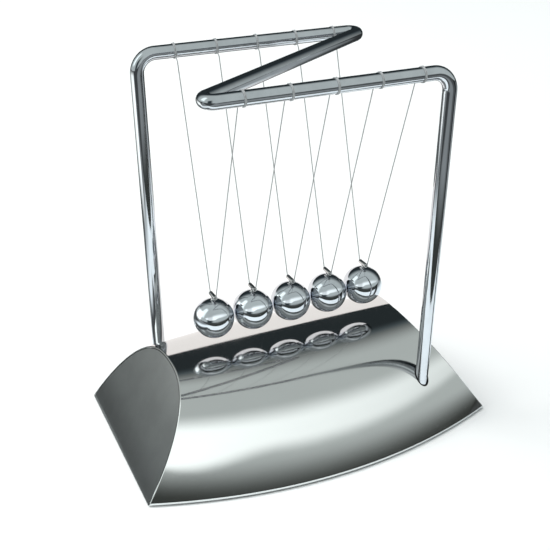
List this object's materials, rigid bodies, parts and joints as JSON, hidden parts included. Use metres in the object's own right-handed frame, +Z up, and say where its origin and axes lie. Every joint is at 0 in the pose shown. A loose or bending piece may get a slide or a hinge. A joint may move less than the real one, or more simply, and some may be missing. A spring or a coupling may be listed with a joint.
{
  "type": "newton's cradle",
  "caption": "Desk cradle: a row of chrome balls hangs on V-shaped lines under one bent Z-shaped rod, over a polished vaulted base with slanted satin ends.",
  "frame": {"origin": "on the table, under the middle of the base", "axes": "+X along the row of balls towards the front post, -Y towards the front, +Z up"},
  "size_m": [0.1752, 0.1234, 0.1773],
  "materials": {
    "cover_polish": "mirror polished sheet",
    "end_satin": "satin, faintly brushed",
    "weight_iron": "raw casting",
    "floor_zinc": "zinc plated sheet",
    "foot_rubber": "matt",
    "fastener_zinc": "bright zinc",
    "rod_chrome": "chrome plated, mirror",
    "line_nylon": "clear monofilament seen as pale grey",
    "ball_chrome": "polished, mirror",
    "hanger_chrome": "plated, a little dull"
  },
  "bodies": {
    "frame": {"base_cover": "cover_polish", "left_end_plate": "end_satin", "right_end_plate": "end_satin", "base_weight": "weight_iron", "floor_plate": "floor_zinc", "rubber_foot_1": "foot_rubber", "rubber_foot_2": "foot_rubber", "rubber_foot_3": "foot_rubber", "rubber_foot_4": "foot_rubber", "spacer_1": "fastener_zinc", "spacer_2": "fastener_zinc", "spacer_3": "fastener_zinc", "spacer_4": "fastener_zinc", "floor_screw_1": "fastener_zinc", "floor_screw_2": "fastener_zinc", "floor_screw_3": "fastener_zinc", "floor_screw_4": "fastener_zinc", "z_rod": "rod_chrome", "back_post_washer": "fastener_zinc", "back_post_screw": "fastener_zinc", "front_post_washer": "fastener_zinc", "front_post_screw": "fastener_zinc", "front_winding_1": "line_nylon", "front_winding_2": "line_nylon", "front_winding_3": "line_nylon", "front_winding_4": "line_nylon", "front_winding_5": "line_nylon", "back_winding_1": "line_nylon", "back_winding_2": "line_nylon", "back_winding_3": "line_nylon", "back_winding_4": "line_nylon", "back_winding_5": "line_nylon"},
    "pendulum_1": {"ball_1": "ball_chrome", "hanger_1": "hanger_chrome", "line_1": "line_nylon"},
    "pendulum_2": {"ball_2": "ball_chrome", "hanger_2": "hanger_chrome", "line_2": "line_nylon"},
    "pendulum_3": {"ball_3": "ball_chrome", "hanger_3": "hanger_chrome", "line_3": "line_nylon"},
    "pendulum_4": {"ball_4": "ball_chrome", "hanger_4": "hanger_chrome", "line_4": "line_nylon"},
    "pendulum_5": {"ball_5": "ball_chrome", "hanger_5": "hanger_chrome", "line_5": "line_nylon"}
  },
  "joints": [
    {"name": "ball_1_swing", "type": "hinge", "parent": "frame", "child": "pendulum_1", "pos_m": [-0.0376, 0, 0.17], "axis": [0, 1, 0], "range_deg": [-0.12, 55]},
    {"name": "ball_2_swing", "type": "hinge", "parent": "frame", "child": "pendulum_2", "pos_m": [-0.018, 0, 0.17], "axis": [0, 1, 0], "range_deg": [-0.12, 0.12]},
    {"name": "ball_3_swing", "type": "hinge", "parent": "frame", "child": "pendulum_3", "pos_m": [0.0016, 0, 0.17], "axis": [0, 1, 0], "range_deg": [-0.12, 0.12]},
    {"name": "ball_4_swing", "type": "hinge", "parent": "frame", "child": "pendulum_4", "pos_m": [0.0212, 0, 0.17], "axis": [0, 1, 0], "range_deg": [-0.12, 0.12]},
    {"name": "ball_5_swing", "type": "hinge", "parent": "frame", "child": "pendulum_5", "pos_m": [0.0408, 0, 0.17], "axis": [0, 1, 0], "range_deg": [-55, 0.12]}
  ]
}
